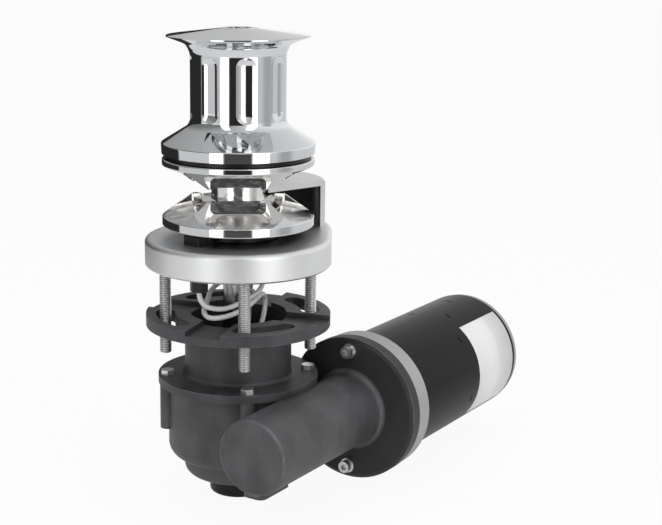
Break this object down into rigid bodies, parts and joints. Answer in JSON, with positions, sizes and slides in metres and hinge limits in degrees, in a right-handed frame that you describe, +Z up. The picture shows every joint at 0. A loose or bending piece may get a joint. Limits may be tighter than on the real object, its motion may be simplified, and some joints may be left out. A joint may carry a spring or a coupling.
{
  "type": "anchor windlass",
  "caption": "Vertical electric anchor windlass: warping drum over a chain wheel above deck, worm gearbox and horizontal motor below.",
  "frame": {"origin": "centre of the deck studs' circle, on the main shaft's line at the underside of the base plate", "axes": "+Z up along the main shaft, +X along the worm towards the motor, +Y away from the worm"},
  "size_m": [0.3845, 0.2124, 0.391],
  "materials": {
    "satin_aluminium": "satin anodised",
    "polished_chrome": "polished",
    "dark_casting": "matt",
    "black_plastic": "matt",
    "stainless": "bright",
    "ground_steel": "ground",
    "bronze": "machined",
    "seal_rubber": "matt",
    "gasket_paper": "matt",
    "motor_black": "satin",
    "brushed_aluminium": "brushed",
    "grey_cable": "satin",
    "plug_plastic": "satin",
    "ferrite": "raw",
    "core_steel": "laminated",
    "copper": "varnished",
    "carbon": "matt"
  },
  "bodies": {
    "housing": {"base_plate": "satin_aluminium", "chain_hood": "satin_aluminium", "gearbox_cover": "dark_casting", "gearcase": "dark_casting", "bottom_cap": "black_plastic", "chain_sensor": "black_plastic", "brush_plate": "black_plastic", "sensor_nut": "black_plastic", "deck_studs": "stainless", "cover_bolts": "stainless", "hood_screws": "stainless", "flange_screws": "stainless", "flange_washers": "stainless", "tie_bolts": "stainless", "worm_bearing_outer_rings": "ground_steel", "motor_bearing_outer_rings": "ground_steel", "base_bush": "bronze", "cover_bush": "bronze", "bottom_bush": "bronze", "thrust_washer": "bronze", "terminal_studs": "bronze", "terminal_nuts": "bronze", "terminal_washers": "bronze", "base_seal": "seal_rubber", "cover_seal": "seal_rubber", "worm_seal": "seal_rubber", "cover_gasket": "gasket_paper", "motor_gasket": "gasket_paper", "motor_can": "motor_black", "motor_adapter": "brushed_aluminium", "motor_end_cap": "brushed_aluminium", "sensor_lead": "grey_cable", "lead_plug": "plug_plastic", "field_magnets": "ferrite", "brushes": "carbon"},
    "main_shaft": {"main_shaft": "ground_steel", "shaft_keys": "ground_steel", "shaft_circlips": "stainless", "lower_cone": "black_plastic", "worm_wheel": "bronze"},
    "drum": {"drum": "polished_chrome", "upper_cone": "black_plastic", "clutch_springs": "stainless"},
    "clutch_nut": {"clutch_nut": "stainless"},
    "chain_wheel": {"chain_wheel": "polished_chrome", "wheel_bush": "bronze", "wheel_magnet": "ferrite"},
    "worm": {"worm_shaft": "ground_steel", "worm_bearing_inner_rings": "ground_steel", "motor_shaft": "ground_steel", "motor_drive_key": "ground_steel", "motor_bearing_inner_rings": "ground_steel", "armature_core": "core_steel", "armature_windings": "copper", "commutator": "copper"}
  },
  "joints": [
    {"name": "worm_spin", "type": "hinge", "parent": "housing", "child": "worm", "pos_m": [0, -0.0737, -0.1285], "axis": [1, 0, 0], "continuous": true},
    {"name": "shaft_spin", "type": "hinge", "parent": "housing", "child": "main_shaft", "pos_m": [0, 0, 0], "axis": [0, 0, 1], "continuous": true},
    {"name": "wheel_spin", "type": "hinge", "parent": "main_shaft", "child": "chain_wheel", "pos_m": [0, 0, 0], "axis": [0, 0, 1], "continuous": true},
    {"name": "drum_lift", "type": "slide", "parent": "main_shaft", "child": "drum", "axis": [0, 0, 1], "range_m": [0, 0.0015]},
    {"name": "nut_turn", "type": "hinge", "parent": "drum", "child": "clutch_nut", "pos_m": [0, 0, 0], "axis": [0, 0, 1], "range_deg": [0, 360]}
  ],
  "couplings": [
    {"joint": "shaft_spin", "follows": "worm_spin", "ratio": -0.025},
    {"joint": "nut_turn", "follows": "drum_lift", "rad_per_m": 4188.4}
  ]
}
